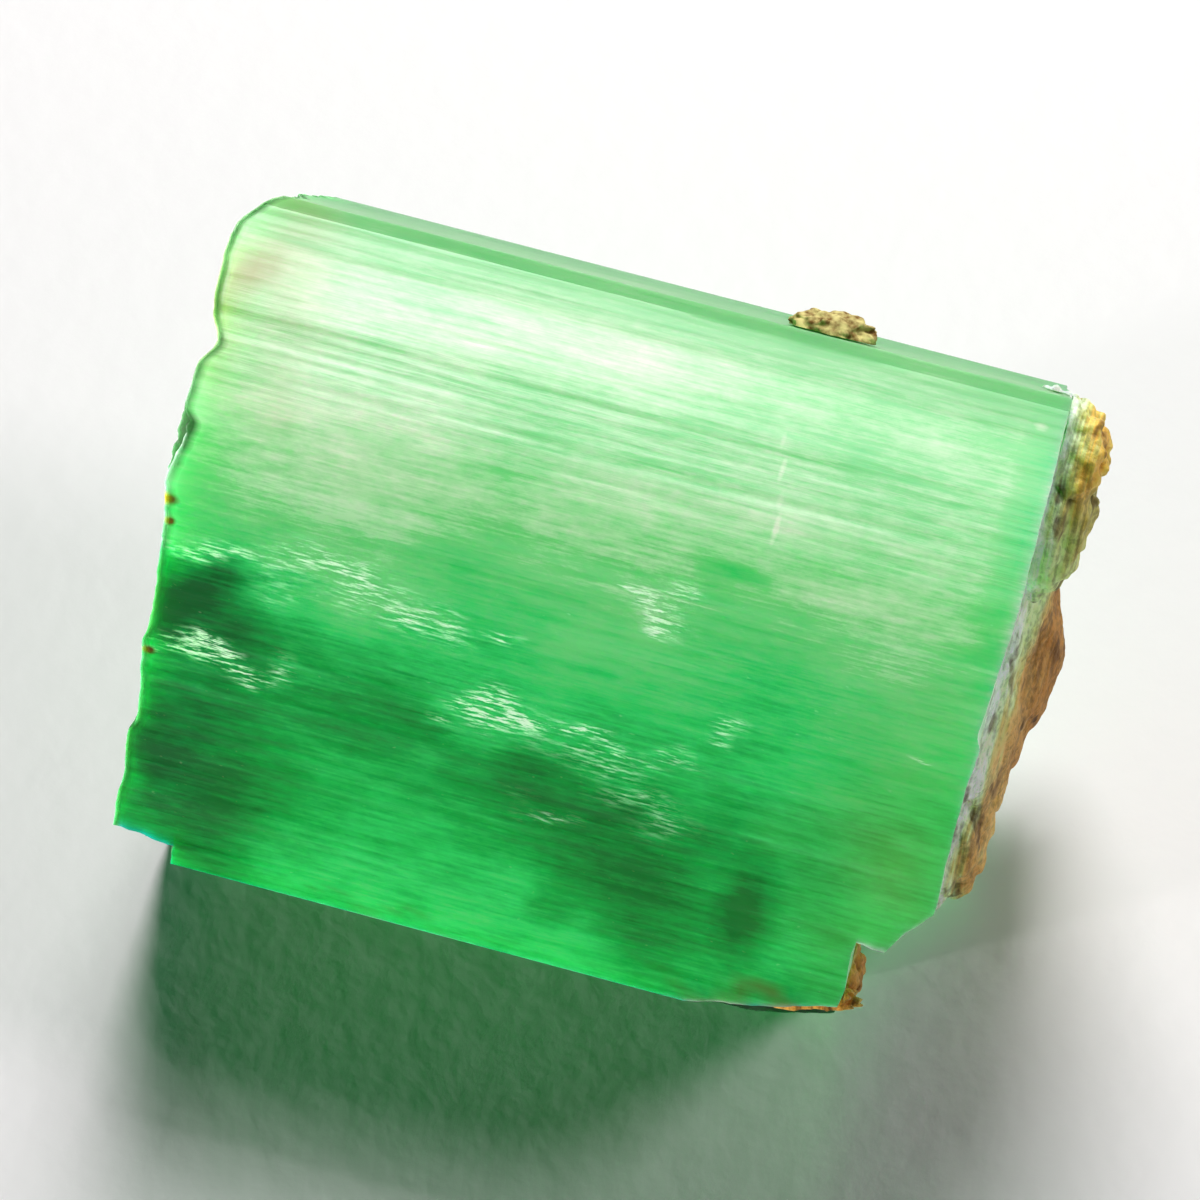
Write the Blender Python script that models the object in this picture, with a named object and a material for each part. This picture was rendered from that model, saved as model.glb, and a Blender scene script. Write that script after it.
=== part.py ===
"""Emerald crystal, lying on a prism face, with its matrix still on the broken base.

The crystal is a short six-sided beryl prism whose axis lies along X. It rests on a
narrow prism face at Z = 0. The broad front face looks towards -Y and upwards, and
the broken base, with a crust of mica schist, looks towards +X.
"""
import math
import random

import bmesh
import bpy
from mathutils import Euler, Matrix, Vector, noise

MM = 0.001  # the model is drawn in millimetres and scaled to metres at the end

# Prism section, looking along the axis
TOP_WIDTH = 3.19        # top face, and the resting face opposite to it
FRONT_WIDTH = 6.0       # broad front face, and the lower back face opposite
SIDE_WIDTH = 3.8        # upper back face, and the lower front face opposite
EDGE_FACE_CUT = 0.16    # a narrow face takes this much off both sides of the top back edge
HEIGHT = (FRONT_WIDTH + SIDE_WIDTH) * math.sin(math.radians(60))
TOP_FRONT_Y = -1.045    # where the top face meets the front face

# Growth steps along the prism faces
LAND_WIDTH = 0.3        # mean width of the flat lands between two steps
LAND_DEPTH = 0.055      # how far the deepest land lies under the face
RISER_WIDTH = 0.03
LAND_WAVE = 2.6         # distance over which a land's depth changes along the axis
STATIONS = 10           # rings of points along the prism, less one

# Broken ends: X of each, and how they step from shard to shard
LEFT_END = -4.72
RIGHT_END = 5.17        # at the top front edge, where the base reaches furthest
OVERRUN = 0.8           # the prism runs this far past both ends before it is cut
BLOCK_WIDTH = 9.4       # the block that cuts the ends is this wide and high
END_CUTS = 19           # cuts across each end face of that block
SHARD_COUNT = 26
SHARD_FIELD_Y, SHARD_FIELD_Z = (-4.4, 4.4), (0.0, 8.6)
SHARD_STEP = 0.09       # height between neighbouring shards
SHARD_TILT = 0.05

# The base falls back towards the back and the bottom
BASE_SLOPE_Y = -0.045
BASE_SLOPE_Z = 0.10

# The far end's top back corner is worn off, it is hollowed at the top front edge, and its
# lower back lies further in; each fades in between two values of Y and two of Z
WORN_CORNER = 0.42
WORN_Y, WORN_Z = (1.55, 2.3), (6.0, 7.5)
EDGE_HOLLOW = 0.26
HOLLOW_IN_Y, HOLLOW_OUT_Y, HOLLOW_Z = (-1.45, -0.8), (-0.6, 1.6), (5.0, 8.0)
FAR_END_LEAN = 0.3
LEAN_Y, LEAN_Z = (-2.5, 1.0), (5.0, 7.6)

# Pieces broken off the crystal: middle, size, turn in degrees, noise seed
CHIPS = {
    "left_low_chip": ((-4.95, -4.1, 2.35), (1.75, 2.3, 2.55), (0, 6, 8), 3),
    "base_low_chip": ((5.1, -2.4, 1.75), (2.6, 5.6, 5.35), (2, 6, 3), 9),
    "base_corner_chip": ((5.1, -3.34, 4.52), (1.0, 1.8, 1.7), (0, 30, -18), 17),
    "front_edge_chip": ((3.6, -4.23, 2.94), (3.1, 1.2, 1.4), (-30, -13, 6), 21),
    "lower_front_chip": ((4.06, -3.34, 1.49), (3.4, 1.2, 4.6), (30, 0, 18), 25),
}
CHIP_ROUGHNESS = 0.05

# Lumps of each crust: middle, radii, turn in degrees, noise seed, fineness of the ball
BASE_LUMPS = (
    ((4.45, 1.1, 4.2), (0.72, 2.2, 3.0), (-12, -5.7, -3.7), 2, 4),
    ((4.78, 1.75, 6.4), (0.75, 1.0, 1.2), (0, 0, 0), 5, 3),
    ((4.85, 2.15, 7.2), (0.7, 0.65, 0.75), (20, 0, 0), 6, 3),
    ((4.3, -0.6, 2.7), (0.72, 1.1, 1.5), (15, -4, 0), 8, 3),
)
CRUMB_LUMPS = (((2.1, 2.55, 7.86), (0.52, 0.3, 0.24), (-60, 0, 3), 4, 3),)
EDGE_LUMPS = (
    ((3.82, -3.0, 2.9), (0.3, 0.48, 1.05), (30, 6, 0), 12, 3),
    ((3.25, -3.6, 3.32), (1.0, 0.2, 0.22), (-30, -9, 4), 14, 3),
)
RUGGEDNESS = 0.22       # how far the ridges of a lump stand out, as a share of its radius

GROWN_SCALE = 1.007     # the crusts are cut by a copy of the crystal this much larger,
HEART = Vector((-0.5, 0.8, 6.0))    # scaled about this point, so that they stay just clear
MIDDLE_X = 0.38         # from the crystal's drawing origin to the middle of the specimen
WELD = 0.001            # vertices closer than this are welded after a cut


def unit(angle_deg):
    """A unit vector (y, z) at this angle from +Y towards +Z."""
    angle = math.radians(angle_deg)
    return Vector((math.cos(angle), math.sin(angle)))


def prism_faces():
    """Start corner, direction, inward normal, width and number of lands of each prism face."""
    widths = (TOP_WIDTH, FRONT_WIDTH, SIDE_WIDTH, TOP_WIDTH, FRONT_WIDTH, SIDE_WIDTH)
    corner = Vector((0.0, 0.0))
    corners = []
    for side, width in enumerate(widths):
        corners.append(corner.copy())
        corner = corner + unit(60 * side) * width
    middle = (min(c.x for c in corners) + max(c.x for c in corners)) / 2
    corners = [c - Vector((middle, 0.0)) for c in corners]

    faces = []
    for side, width in enumerate(widths):
        lands = 1 if side == 0 else max(3, round(width / LAND_WIDTH))
        faces.append([corners[side], unit(60 * side), unit(60 * side + 90), width, lands])

    upper_back, top = faces[2], faces[3]
    upper_back[3] -= EDGE_FACE_CUT
    edge_start = upper_back[0] + upper_back[1] * upper_back[3]
    top[0] = top[0] + top[1] * EDGE_FACE_CUT
    top[3] -= EDGE_FACE_CUT
    edge_width = (top[0] - edge_start).length
    faces.insert(3, [edge_start, unit(150), unit(240), edge_width, 2])
    return faces


def growth_lands(rng, width, count):
    """Where the lands of a face meet, and how deep each lies; the outermost ones are not sunk."""
    if count == 1:
        return [], [0.0]
    pieces = [rng.uniform(0.5, 1.6) for _ in range(count)]
    total = sum(pieces)
    meetings = []
    reached = 0.0
    for piece in pieces[:-1]:
        reached += piece
        meetings.append(width * reached / total)
    depths = [0.0] + [rng.uniform(0.1, 1.0) * LAND_DEPTH for _ in range(count - 2)] + [0.0]
    return meetings, depths


def section_outline(x, faces, lands):
    """Points (y, z) around the prism at x, with a small step between neighbouring lands."""
    points = []
    for number, (corner, along, inward, width, _) in enumerate(faces):
        meetings, depths = lands[number]
        points.append(corner)
        for index, place in enumerate(meetings):
            for shift, land in ((-0.5, index), (0.5, index + 1)):
                wave = noise.noise(Vector((x / LAND_WAVE, number * 7.3, land * 3.1)))
                depth = depths[land] * (1.0 + 0.9 * wave)
                points.append(corner + along * (place + shift * RISER_WIDTH) + inward * depth)
    return points


def shards(rng, count):
    """Flat pieces that make up a broken end: their centre, height and tilt."""
    found = []
    for _ in range(count):
        centre = Vector((rng.uniform(*SHARD_FIELD_Y), rng.uniform(*SHARD_FIELD_Z)))
        height = rng.uniform(-0.5, 0.5) * SHARD_STEP
        tilt = Vector((rng.uniform(-1, 1), rng.uniform(-1, 1))) * SHARD_TILT
        found.append((centre, height, tilt))
    return found


def shard_height(y, z, pieces):
    """Height of a broken end over its mean plane, from the shard that this point belongs to."""
    here = Vector((y, z))
    centre, height, tilt = min(pieces, key=lambda piece: (piece[0] - here).length)
    return height + tilt.dot(here - centre)


def share(value, low, high):
    """How far the value has come from low to high, held between 0 and 1."""
    return min(1.0, max(0.0, (value - low) / (high - low)))


def left_end_x(y, z, pieces):
    """The far end: nearly square to the axis, its top back corner worn round."""
    corner = share(y, *WORN_Y) * share(z, *WORN_Z)
    hollow = share(y, *HOLLOW_IN_Y) * (1.0 - share(y, *HOLLOW_OUT_Y)) * share(z, *HOLLOW_Z)
    behind = share(y, *LEAN_Y) * (1.0 - share(z, *LEAN_Z))
    worn = WORN_CORNER * corner ** 2 + EDGE_HOLLOW * hollow + FAR_END_LEAN * behind
    return LEFT_END + worn + shard_height(y, z, pieces)


def right_end_x(y, z, pieces):
    """The broken base: it leans back from the top front edge."""
    lean = BASE_SLOPE_Y * (y - TOP_FRONT_Y) - BASE_SLOPE_Z * (HEIGHT - z)
    return RIGHT_END + lean + 0.7 * shard_height(y, z, pieces)


def new_object(name, bm, collection, material=None):
    """Turn the bmesh into an object in the collection."""
    bmesh.ops.recalc_face_normals(bm, faces=bm.faces)
    mesh = bpy.data.meshes.new(name)
    bm.to_mesh(mesh)
    bm.free()
    obj = bpy.data.objects.new(name, mesh)
    collection.objects.link(obj)
    if material:
        mesh.materials.append(material)
    else:
        obj.hide_render = True
        obj.display_type = "WIRE"
    return obj


def keep_largest_body(bm):
    """Delete all that is not joined to the body with the most vertices."""
    unseen = set(bm.verts)
    bodies = []
    while unseen:
        body = set()
        front = [unseen.pop()]
        while front:
            vert = front.pop()
            body.add(vert)
            neighbours = {edge.other_vert(vert) for edge in vert.link_edges} & unseen
            unseen -= neighbours
            front.extend(neighbours)
        bodies.append(body)
    bodies.sort(key=len)
    crumbs = [vert for body in bodies[:-1] for vert in body]
    bmesh.ops.delete(bm, geom=crumbs, context="VERTS")


def combine(obj, cutter, operation):
    """Join the cutter to the object, or cut it away, and weld the slivers that this leaves."""
    modifier = obj.modifiers.new(operation, "BOOLEAN")
    modifier.operation = operation
    modifier.solver = "EXACT"
    modifier.object = cutter
    depsgraph = bpy.context.evaluated_depsgraph_get()
    result = bpy.data.meshes.new_from_object(obj.evaluated_get(depsgraph))
    obj.modifiers.clear()
    bm = bmesh.new()
    bm.from_mesh(result)
    bpy.data.meshes.remove(result)
    bmesh.ops.triangulate(bm, faces=bm.faces)
    bmesh.ops.remove_doubles(bm, verts=bm.verts, dist=WELD)
    bmesh.ops.dissolve_degenerate(bm, edges=bm.edges, dist=WELD)
    keep_largest_body(bm)
    bm.to_mesh(obj.data)
    bm.free()


def to_metres(obj):
    """Scale the finished mesh, with X counted from the specimen's middle."""
    obj.data.transform(Matrix.Translation((-MIDDLE_X, 0, 0)))
    obj.data.transform(Matrix.Scale(MM, 4))


def prism_mesh():
    """The endless prism: one ring of points at each station, joined to the next."""
    rng = random.Random(11)
    faces = prism_faces()
    lands = [growth_lands(rng, width, count) for _, _, _, width, count in faces]
    start, end = LEFT_END - OVERRUN, RIGHT_END + OVERRUN
    bm = bmesh.new()
    rings = []
    for station in range(STATIONS + 1):
        x = start + (end - start) * station / STATIONS
        rings.append([bm.verts.new((x, p.x, p.y)) for p in section_outline(x, faces, lands)])
    for ring, following in zip(rings, rings[1:]):
        for index in range(len(ring)):
            after = (index + 1) % len(ring)
            bm.faces.new((ring[index], ring[after], following[after], following[index]))
    bm.faces.new(rings[0])
    bm.faces.new(rings[-1])
    return bm


def broken_block():
    """A block wider than the prism, whose two end faces are the broken ends."""
    rng = random.Random(5)
    left_pieces = shards(rng, SHARD_COUNT)
    right_pieces = shards(rng, SHARD_COUNT)
    bm = bmesh.new()
    bmesh.ops.create_cube(bm, size=1.0)
    size = (RIGHT_END - LEFT_END, BLOCK_WIDTH, BLOCK_WIDTH)
    bmesh.ops.scale(bm, vec=size, verts=bm.verts)
    bmesh.ops.translate(bm, vec=(0, 0, HEIGHT / 2), verts=bm.verts)
    cross_edges = [e for e in bm.edges if abs(e.verts[0].co.x - e.verts[1].co.x) < 1]
    bmesh.ops.subdivide_edges(bm, edges=cross_edges, cuts=END_CUTS, use_grid_fill=True)
    for vert in bm.verts:
        if vert.co.x < 0:
            vert.co.x = left_end_x(vert.co.y, vert.co.z, left_pieces)
        else:
            vert.co.x = right_end_x(vert.co.y, vert.co.z, right_pieces)
    return bm


def chip_mesh(centre, size, turn_deg, seed):
    """A rough block for a broken-off corner: where it overlaps the crystal, the crystal is gone."""
    bm = bmesh.new()
    bmesh.ops.create_cube(bm, size=1.0)
    bmesh.ops.subdivide_edges(bm, edges=bm.edges, cuts=5, use_grid_fill=True)
    turn = Euler([math.radians(angle) for angle in turn_deg]).to_matrix().to_4x4()
    place = Matrix.Translation(centre) @ turn @ Matrix.Diagonal((*size, 1))
    bmesh.ops.transform(bm, matrix=place, verts=bm.verts)
    bm.normal_update()
    for vert in bm.verts:
        bumps = noise.noise(vert.co / 0.45 + Vector((seed, 0, 0)))
        vert.co += vert.normal * bumps * CHIP_ROUGHNESS
    return bm


def lump_mesh(centre, radii, turn_deg, seed, subdivisions):
    """A lump of rock: a flattened ball with flats, hollows and ridges."""
    bm = bmesh.new()
    bmesh.ops.create_icosphere(bm, subdivisions=subdivisions, radius=1.0)
    offset = Vector((seed * 5.7, seed * 2.3, seed))
    for vert in bm.verts:
        ball = vert.co.copy()
        ridges = noise.noise(ball * 1.9 + offset) + 0.5 * noise.noise(ball * 4.3 - offset)
        vert.co = ball * (1.0 + RUGGEDNESS * ridges)
    turn = Euler([math.radians(angle) for angle in turn_deg]).to_matrix().to_4x4()
    place = Matrix.Translation(centre) @ turn @ Matrix.Diagonal((*radii, 1))
    bmesh.ops.transform(bm, matrix=place, verts=bm.verts)
    return bm


def grown_copy(crystal, collection):
    """The finished crystal, a little larger, to keep the crusts just clear of it."""
    bm = bmesh.new()
    bm.from_mesh(crystal.data)
    bmesh.ops.translate(bm, vec=-HEART, verts=bm.verts)
    bmesh.ops.scale(bm, vec=(GROWN_SCALE,) * 3, verts=bm.verts)
    bmesh.ops.translate(bm, vec=HEART, verts=bm.verts)
    return new_object("grown_crystal", bm, collection)


def principled(name, colour, roughness, transmission=0.0, ior=1.5):
    material = bpy.data.materials.new(name)
    material.use_nodes = True
    shader = material.node_tree.nodes["Principled BSDF"]
    shader.inputs["Base Color"].default_value = (*colour, 1.0)
    shader.inputs["Roughness"].default_value = roughness
    shader.inputs["Metallic"].default_value = 0.0
    shader.inputs["Transmission Weight"].default_value = transmission
    shader.inputs["IOR"].default_value = ior
    material.diffuse_color = (*colour, 1.0)
    return material


def build_crystal(parts, cutters):
    emerald = principled("emerald", (0.09, 0.50, 0.17), 0.18, transmission=0.7, ior=1.577)
    crystal = new_object("emerald_crystal", prism_mesh(), parts, emerald)
    combine(crystal, new_object("broken_ends", broken_block(), cutters), "INTERSECT")
    for name, chip in CHIPS.items():
        cutter = new_object(name, chip_mesh(*chip), cutters)
        combine(crystal, cutter, "DIFFERENCE")
    return crystal


def build_crust(name, lumps, material, parts, cutters, grown):
    """One crust: its first lump, joined with the others, then cut to the crystal's surface."""
    first, *others = lumps
    crust = new_object(name, lump_mesh(*first), parts, material)
    for number, lump in enumerate(others, start=1):
        extra = new_object(f"{name}_lump_{number}", lump_mesh(*lump), cutters)
        combine(crust, extra, "UNION")
    combine(crust, grown, "DIFFERENCE")


def main():
    for obj in list(bpy.data.objects):
        bpy.data.objects.remove(obj, do_unlink=True)
    parts = bpy.data.collections.new("emerald_crystal_specimen")
    cutters = bpy.data.collections.new("cutters")
    for collection in (parts, cutters):
        bpy.context.scene.collection.children.link(collection)

    crystal = build_crystal(parts, cutters)
    grown = grown_copy(crystal, cutters)

    schist = principled("brown_mica_schist", (0.25, 0.13, 0.045), 0.8)
    ochre = principled("ochre_limonite_crust", (0.45, 0.28, 0.08), 0.85)
    build_crust("base_matrix_crust", BASE_LUMPS, schist, parts, cutters, grown)
    build_crust("back_matrix_crumb", CRUMB_LUMPS, ochre, parts, cutters, grown)
    build_crust("lower_edge_crust", EDGE_LUMPS, schist, parts, cutters, grown)
    for obj in (*parts.objects, *cutters.objects):
        to_metres(obj)


main()
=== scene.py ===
# %% [markdown]
# # An emerald crystal
#
# This lesson builds the looks of one small mineral specimen: a short six-sided prism of
# emerald, ten millimetres long, that lies on one of its faces on a sheet of paper. Its
# right-hand end is the broken base, and rock is still stuck to it. The plain solids of the
# specimen are loaded first. They say where everything is, and nothing is moved away from them.

# %% Load the plain solids
import math
import random

import bmesh
import bpy
import numpy as np
from mathutils import Euler, Matrix, Vector, noise


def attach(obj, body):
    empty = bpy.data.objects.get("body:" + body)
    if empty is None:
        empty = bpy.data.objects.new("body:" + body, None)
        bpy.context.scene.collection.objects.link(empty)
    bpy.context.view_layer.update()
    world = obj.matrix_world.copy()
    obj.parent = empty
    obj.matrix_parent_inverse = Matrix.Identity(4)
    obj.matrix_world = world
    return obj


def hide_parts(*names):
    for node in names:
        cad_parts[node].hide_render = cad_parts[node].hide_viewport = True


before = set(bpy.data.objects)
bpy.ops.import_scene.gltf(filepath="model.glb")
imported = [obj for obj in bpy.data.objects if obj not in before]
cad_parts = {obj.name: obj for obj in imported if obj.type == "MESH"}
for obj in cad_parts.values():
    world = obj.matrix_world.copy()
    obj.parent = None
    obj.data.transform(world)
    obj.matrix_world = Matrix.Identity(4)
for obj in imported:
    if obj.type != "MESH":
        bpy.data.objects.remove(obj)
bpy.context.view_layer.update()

MM = 0.001
print("solids:", sorted(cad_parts))

# %% [markdown]
# The crystal is so small that Blender's tools, which merge points closer than a tenth of a
# millimetre, would spoil it. So each piece is drawn a thousand times too large, with one unit
# for each millimetre, and is scaled down when it is finished. Two helpers do what is needed
# around each tool: one leaves nothing selected, and one brings a finished piece to its real
# size, with its place in its mesh and its object at the origin.

# %% Helpers for modelling in millimetres
AXIS_SHIFT = 0.38  # the drawing's X = 0 lies this far from the middle of the specimen


def select_only(*objects):
    """Leave these objects selected, with the last one active, and nothing else."""
    bpy.ops.object.select_all(action="DESELECT")
    for obj in objects:
        obj.select_set(True)
        bpy.context.view_layer.objects.active = obj


def named(name):
    """Name the primitive that was just added, and return it."""
    obj = bpy.context.active_object
    obj.name = name
    obj.data.name = name
    return obj


def in_edit_mode(obj, kind, chosen, *steps):
    """Select the points ("VERT") or faces ("FACE") for which chosen is true, and run the steps."""
    select_only(obj)
    bpy.ops.object.mode_set(mode="EDIT")
    bpy.ops.mesh.select_mode(type=kind)
    bpy.ops.mesh.select_all(action="DESELECT")
    bm = bmesh.from_edit_mesh(obj.data)
    for element in (bm.verts if kind == "VERT" else bm.faces):
        if chosen(element):
            element.select_set(True)
    bm.select_flush_mode()
    bmesh.update_edit_mesh(obj.data)
    for step in steps:
        step()
    bpy.ops.object.mode_set(mode="OBJECT")


def points_of(obj):
    """The mesh's points, one row each."""
    flat = np.empty(len(obj.data.vertices) * 3)
    obj.data.vertices.foreach_get("co", flat)
    return flat.reshape(-1, 3)


def set_points(obj, points):
    obj.data.vertices.foreach_set("co", np.asarray(points, float).ravel())
    obj.data.update()


def apply_modifier(obj, kind, **settings):
    select_only(obj)
    modifier = obj.modifiers.new(kind.title(), kind)
    for name, value in settings.items():
        setattr(modifier, name, value)
    bpy.ops.object.modifier_apply(modifier=modifier.name)


def boolean(obj, tool, operation):
    """Cut, join or keep what the tool shares with the object, then delete the tool."""
    apply_modifier(obj, "BOOLEAN", object=tool, operation=operation, solver="MANIFOLD")
    bpy.data.objects.remove(tool, do_unlink=True)


def to_real_size(obj, angle_deg):
    """Scale a finished piece down to metres, and smooth the edges below this angle."""
    obj.location = (-AXIS_SHIFT * MM, 0, 0)
    obj.scale = (MM, MM, MM)
    select_only(obj)
    bpy.ops.object.transform_apply(location=True, rotation=False, scale=True)
    bpy.ops.object.shade_smooth_by_angle(angle=math.radians(angle_deg))
    low, high = points_of(obj).min(0) / MM, points_of(obj).max(0) / MM
    obj.data.calc_loop_triangles()
    print(obj.name, len(obj.data.loop_triangles), "triangles, from", low.round(2), "to", high.round(2))


select_only()

# %% [markdown]
# ## The camera
#
# The specimen is looked at from the front and well above, 63 degrees up, from a little to its
# right. A long lens from 12 centimetres away keeps the prism's edges nearly parallel, as a
# macro lens does. The lens length follows from how large a millimetre should look.

# %% Camera
PICTURE_SIDE = 1200           # pixels
PIXELS_PER_MM = 85
CAMERA_AZIMUTH, CAMERA_ELEVATION = math.radians(16.4), math.radians(63)
CAMERA_DISTANCE = 0.120
SENSOR = 36
looked_at = Vector((-AXIS_SHIFT, 0.235, 4.2435)) * MM

to_camera = Vector((
    math.sin(CAMERA_AZIMUTH) * math.cos(CAMERA_ELEVATION),
    -math.cos(CAMERA_AZIMUTH) * math.cos(CAMERA_ELEVATION),
    math.sin(CAMERA_ELEVATION),
))
bpy.ops.object.camera_add(location=looked_at + to_camera * CAMERA_DISTANCE)
camera = bpy.context.active_object
camera.name = "camera"
camera.rotation_euler = to_camera.to_track_quat("Z", "Y").to_euler()
camera.data.sensor_width = SENSOR
camera.data.lens = SENSOR * PIXELS_PER_MM * CAMERA_DISTANCE / MM / PICTURE_SIDE
camera.data.clip_start = 0.001
bpy.context.scene.camera = camera
print("lens:", round(camera.data.lens), "mm")

# %% [markdown]
# ## The prism
#
# Beryl grows as a six-sided prism. Its faces are never quite flat: growth stops and starts in
# narrow lands that run along the prism, each about a hundredth of a millimetre lower or higher
# than the next, and finer lines lie on the lands. The section below is the same as that of the
# plain solid: six faces, and one narrow face more that takes off the top back edge.

# %% Section of the prism
TOP_WIDTH = 3.19              # top face, and the resting face opposite to it
FRONT_WIDTH = 6.0             # broad front face, and the lower back face opposite
SIDE_WIDTH = 3.8              # upper back face, and the lower front face opposite
EDGE_FACE_CUT = 0.16          # a narrow face takes this much off both sides of the top back edge
HEIGHT = (FRONT_WIDTH + SIDE_WIDTH) * math.sin(math.radians(60))
RESTING, UPPER_BACK, EDGE_FACE, TOP, FRONT = 0, 2, 3, 4, 5   # numbers of the faces


def unit(angle_deg):
    angle = math.radians(angle_deg)
    return Vector((math.cos(angle), math.sin(angle)))


def prism_faces():
    """Start corner, direction, inward normal and width of each face, looking along the axis."""
    widths = (TOP_WIDTH, FRONT_WIDTH, SIDE_WIDTH) * 2
    corners = [Vector((0.0, 0.0))]
    for side, width in enumerate(widths[:-1]):
        corners.append(corners[-1] + unit(60 * side) * width)
    middle = (min(c.x for c in corners) + max(c.x for c in corners)) / 2
    faces = []
    for side, width in enumerate(widths):
        corner = corners[side] - Vector((middle, 0.0))
        faces.append([corner, unit(60 * side), unit(60 * side + 90), width])
    upper_back, top = faces[2:4]   # as long as the narrow face isn't between them
    upper_back[3] -= EDGE_FACE_CUT
    edge_start = upper_back[0] + upper_back[1] * upper_back[3]
    top[0] = top[0] + top[1] * EDGE_FACE_CUT
    top[3] -= EDGE_FACE_CUT
    faces.insert(EDGE_FACE, [edge_start, unit(150), unit(240), (top[0] - edge_start).length])
    return faces


faces = prism_faces()
print("widths of the faces:", [round(width, 2) for _, _, _, width in faces])

# %% [markdown]
# Every face but the one that the crystal rests on is made of lands, in the same places as on
# the plain solid but shallower. Their depth changes slowly along the prism. The growth lines
# are noise that is long along the prism and narrow across it. The top face is a little
# crowned, and its front edge is rounded, which is why the light from behind shows as a soft
# band on it and not as one even sheet.

# %% Lands and lines on the faces
LAND_WIDTH = 0.3              # mean width of a land
LAND_DEPTH = 0.01             # how far the deepest land lies under the face
RISER_WIDTH = 0.06            # over which one land goes over to the next
LAND_WAVE = 2.6               # distance over which a land's depth changes along the prism
CROWN = 0.17                  # the top face bulges this much in its middle
LINE_SPACING = 0.036          # between neighbouring points around the prism
LINE_DEPTH = 0.009
COARSE_LINE, FINE_LINE = (3.5, 0.16), (1.4, 0.06)   # length and width of a growth line
EDGE_FADE = 0.05              # the lands and lines fade out this near to an edge of a face
CORNER_ROUNDING = 0.8         # radius between the top and the front face


def growth_lands(rng, number, width):
    """Where the lands of a face meet, and how deep each lies."""
    whole_width = width + EDGE_FACE_CUT * (number in (UPPER_BACK, TOP))
    count = {RESTING: 1, EDGE_FACE: 2}.get(number) or max(3, round(whole_width / LAND_WIDTH))
    if count == 1:
        return [], [0.0]
    pieces = [rng.uniform(0.5, 1.6) for _ in range(count)]
    meetings = [width * sum(pieces[:index]) / sum(pieces) for index in range(1, count)]
    between = [rng.uniform(0.1, 1.0) * LAND_DEPTH for _ in range(count - 2)]
    return meetings, [0.0] + between + [0.0]


rng = random.Random(11)
lands = [growth_lands(rng, number, face[3]) for number, face in enumerate(faces)]
print("lands on each face:", [len(depths) for _, depths in lands])


def land_depth(number, land, x):
    """How far a land lies under its face at x."""
    wave = noise.noise(Vector((x / LAND_WAVE, number * 7.3, land * 3.1)))
    return lands[number][1][land] * (1.0 + 0.9 * wave)


def surface_depth(number, s, x):
    """How far the surface lies under the face at distance s across it and x along it."""
    meetings = lands[number][0]
    depth = land_depth(number, 0, x)
    for index, place in enumerate(meetings):
        share = (s - place) / RISER_WIDTH + 0.5
        if share <= 0:
            break
        depth += (land_depth(number, index + 1, x) - depth) * min(share, 1.0)
    if number == TOP:
        depth -= CROWN * (1.0 - (2.0 * s / faces[number][3] - 1.0) ** 2)
    coarse = noise.noise(Vector((x / COARSE_LINE[0], s / COARSE_LINE[1], number * 3.7)))
    fine = noise.noise(Vector((x / FINE_LINE[0], s / FINE_LINE[1], number * 9.1)))
    return depth + LINE_DEPTH * max(0.0, 0.45 + 0.6 * coarse + 0.6 * fine)


def rounding(number, s, width):
    """How far a point near the edge of the top and the front face is moved in, to round it."""
    from_edge = {TOP: width - s, FRONT: s}.get(number, CORNER_ROUNDING)
    if from_edge >= CORNER_ROUNDING * math.tan(math.radians(30)):
        return Vector((0, 0))
    inwards = (faces[TOP][2] + faces[FRONT][2]).normalized()
    root = math.sqrt(4 * CORNER_ROUNDING ** 2 - 3 * from_edge ** 2)
    return inwards * (CORNER_ROUNDING / math.cos(math.radians(30)) - (from_edge + root) / 2)


# %% [markdown]
# One way to make a prism is to extrude its section. But the lands rise and sink along the
# prism, so here a flat grid is added, fine across and coarse along, and is wrapped around the
# section, row by row. Merging the seam and filling both ends makes it a closed solid.

# %% Wrap a grid around the section
STATIONS = 60                 # rings of points along the prism, less one
LEFT_END, RIGHT_END = -4.72, 5.17
OVERRUN = 0.8                 # the prism runs this far past both ends before they are broken

around = []                   # face number and distance across it, for each line of points
for number, face in enumerate(faces):
    steps = max(2, round(face[3] / LINE_SPACING))
    around += [(number, face[3] * step / steps) for step in range(steps)]

bpy.ops.mesh.primitive_grid_add(x_subdivisions=STATIONS, y_subdivisions=len(around), size=2)
crystal = named("emerald_prism")
start, end = LEFT_END - OVERRUN, RIGHT_END + OVERRUN
wrapped = []
for flat_x, flat_y, _ in points_of(crystal):
    x = start + (end - start) * round((flat_x + 1) / 2 * STATIONS) / STATIONS
    number, s = around[round((flat_y + 1) / 2 * len(around)) % len(around)]
    corner, along, inward, width = faces[number]
    at_edge = min(1.0, min(s, width - s) / EDGE_FADE)
    depth = surface_depth(number, s, x) * at_edge * (number != RESTING)
    place = corner + along * s + inward * depth + rounding(number, s, width)
    wrapped.append((x, place.x, place.y))
set_points(crystal, wrapped)


def everything(element):
    return True


in_edit_mode(crystal, "VERT", everything, lambda: bpy.ops.mesh.remove_doubles(threshold=1e-5))
for x in (start, end):
    in_edit_mode(crystal, "VERT", lambda vert: abs(vert.co.x - x) < 0.01, bpy.ops.mesh.edge_face_add)
in_edit_mode(crystal, "VERT", everything, lambda: bpy.ops.mesh.normals_make_consistent(inside=False))
print("wrapped prism:", len(crystal.data.vertices), "points")

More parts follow.
